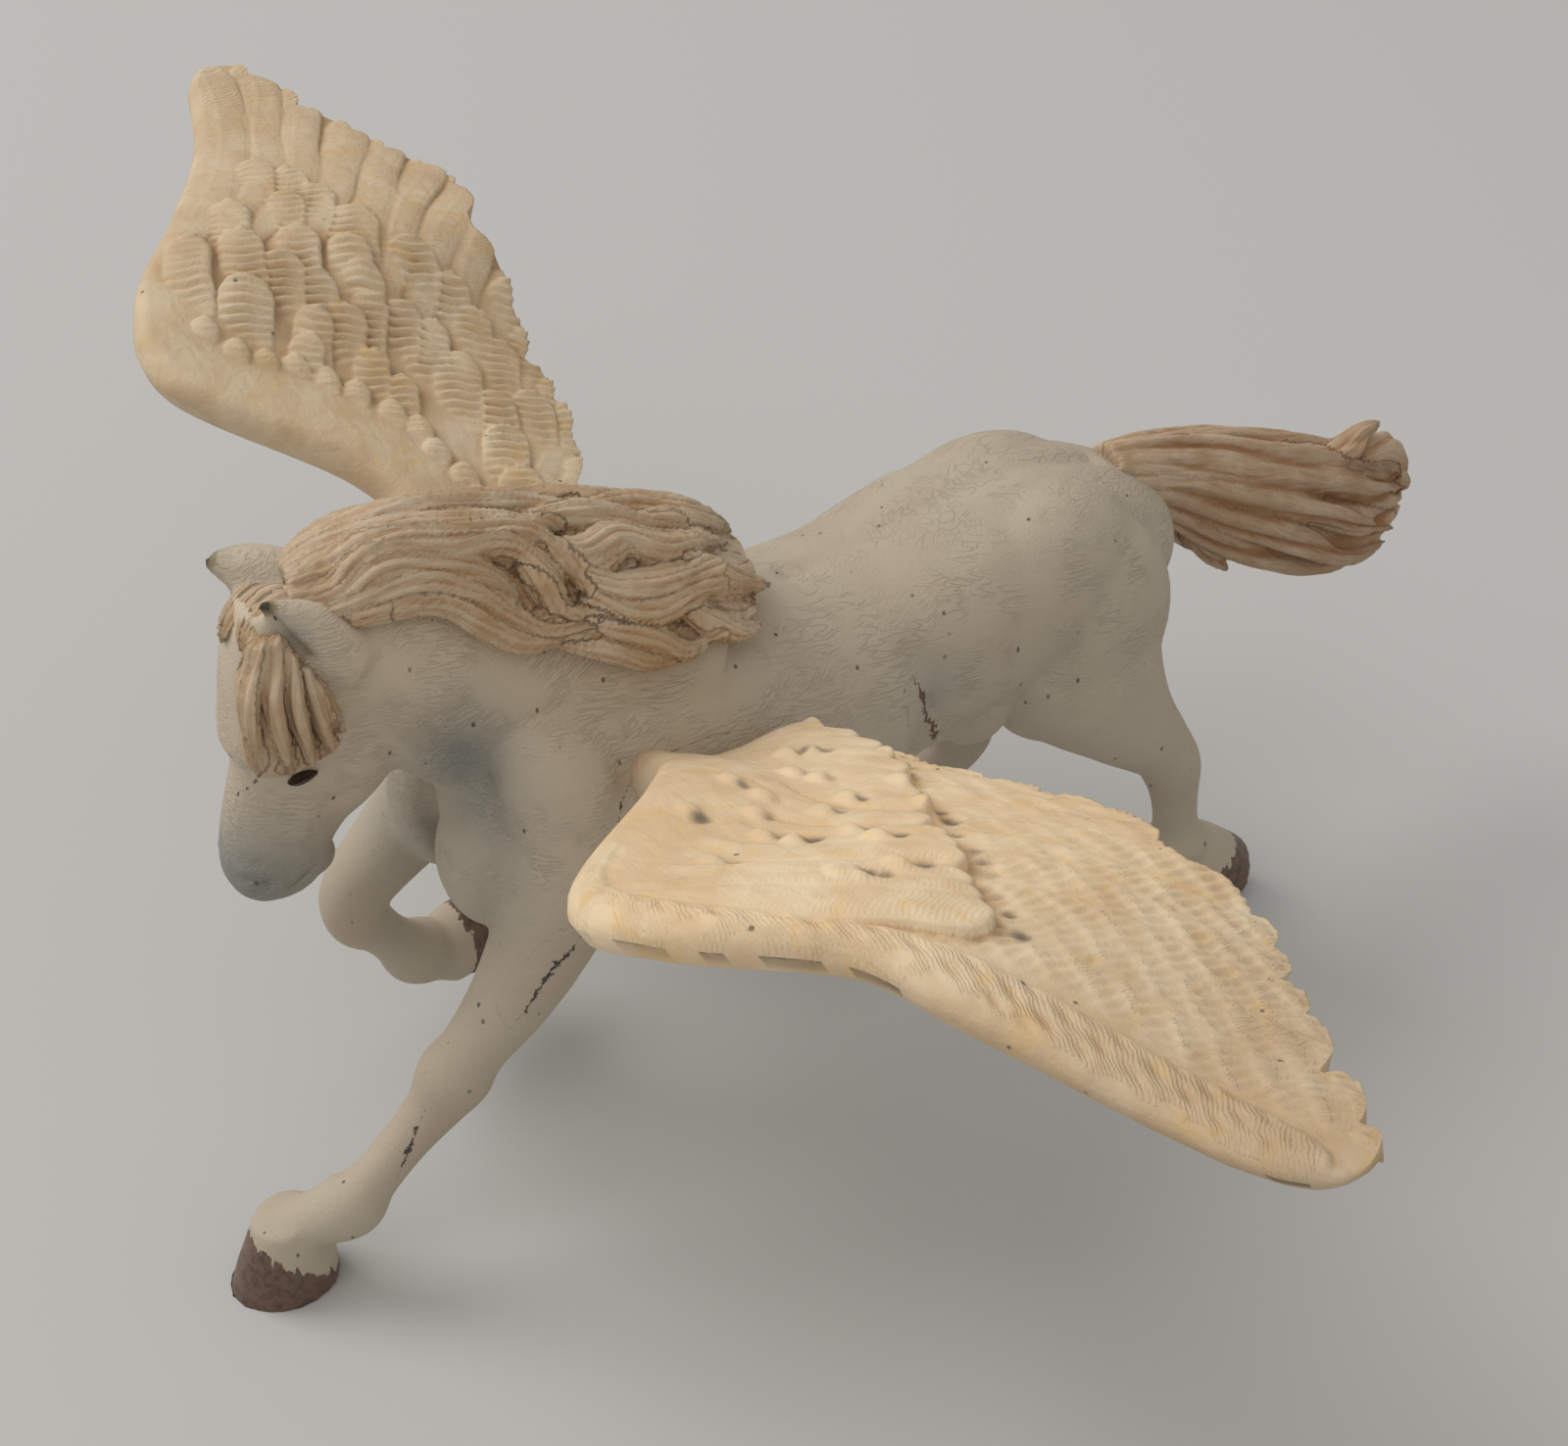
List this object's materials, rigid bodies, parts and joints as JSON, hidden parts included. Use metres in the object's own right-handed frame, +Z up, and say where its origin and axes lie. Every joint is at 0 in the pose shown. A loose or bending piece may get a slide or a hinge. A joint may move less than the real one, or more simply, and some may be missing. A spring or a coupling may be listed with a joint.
{
  "type": "pegasus figurine",
  "caption": "Painted soft-plastic figurine of a cantering winged horse with spread feathered wings, a long mane and a raised tail, standing on its hooves.",
  "frame": {"origin": "on the ground, under the middle of the figurine's bounding box", "axes": "+X forwards, towards the horse's head; +Y to the horse's left; +Z up; the soles of the planted hooves lie on Z = 0"},
  "size_m": [0.171, 0.2162, 0.0898],
  "materials": {
    "body_paint": "matt off-white paint with grey-blue shading, brown hooves and a cream mane",
    "left_wing_paint": "matt cream paint with a yellow-orange wash in the hollows",
    "right_wing_paint": "matt cream paint with a yellow-orange wash in the hollows",
    "tail_paint": "matt cream paint with an orange-brown wash between the locks"
  },
  "bodies": {
    "root": {"body": "body_paint", "left_wing": "left_wing_paint", "right_wing": "right_wing_paint", "tail": "tail_paint"}
  },
  "joints": []
}
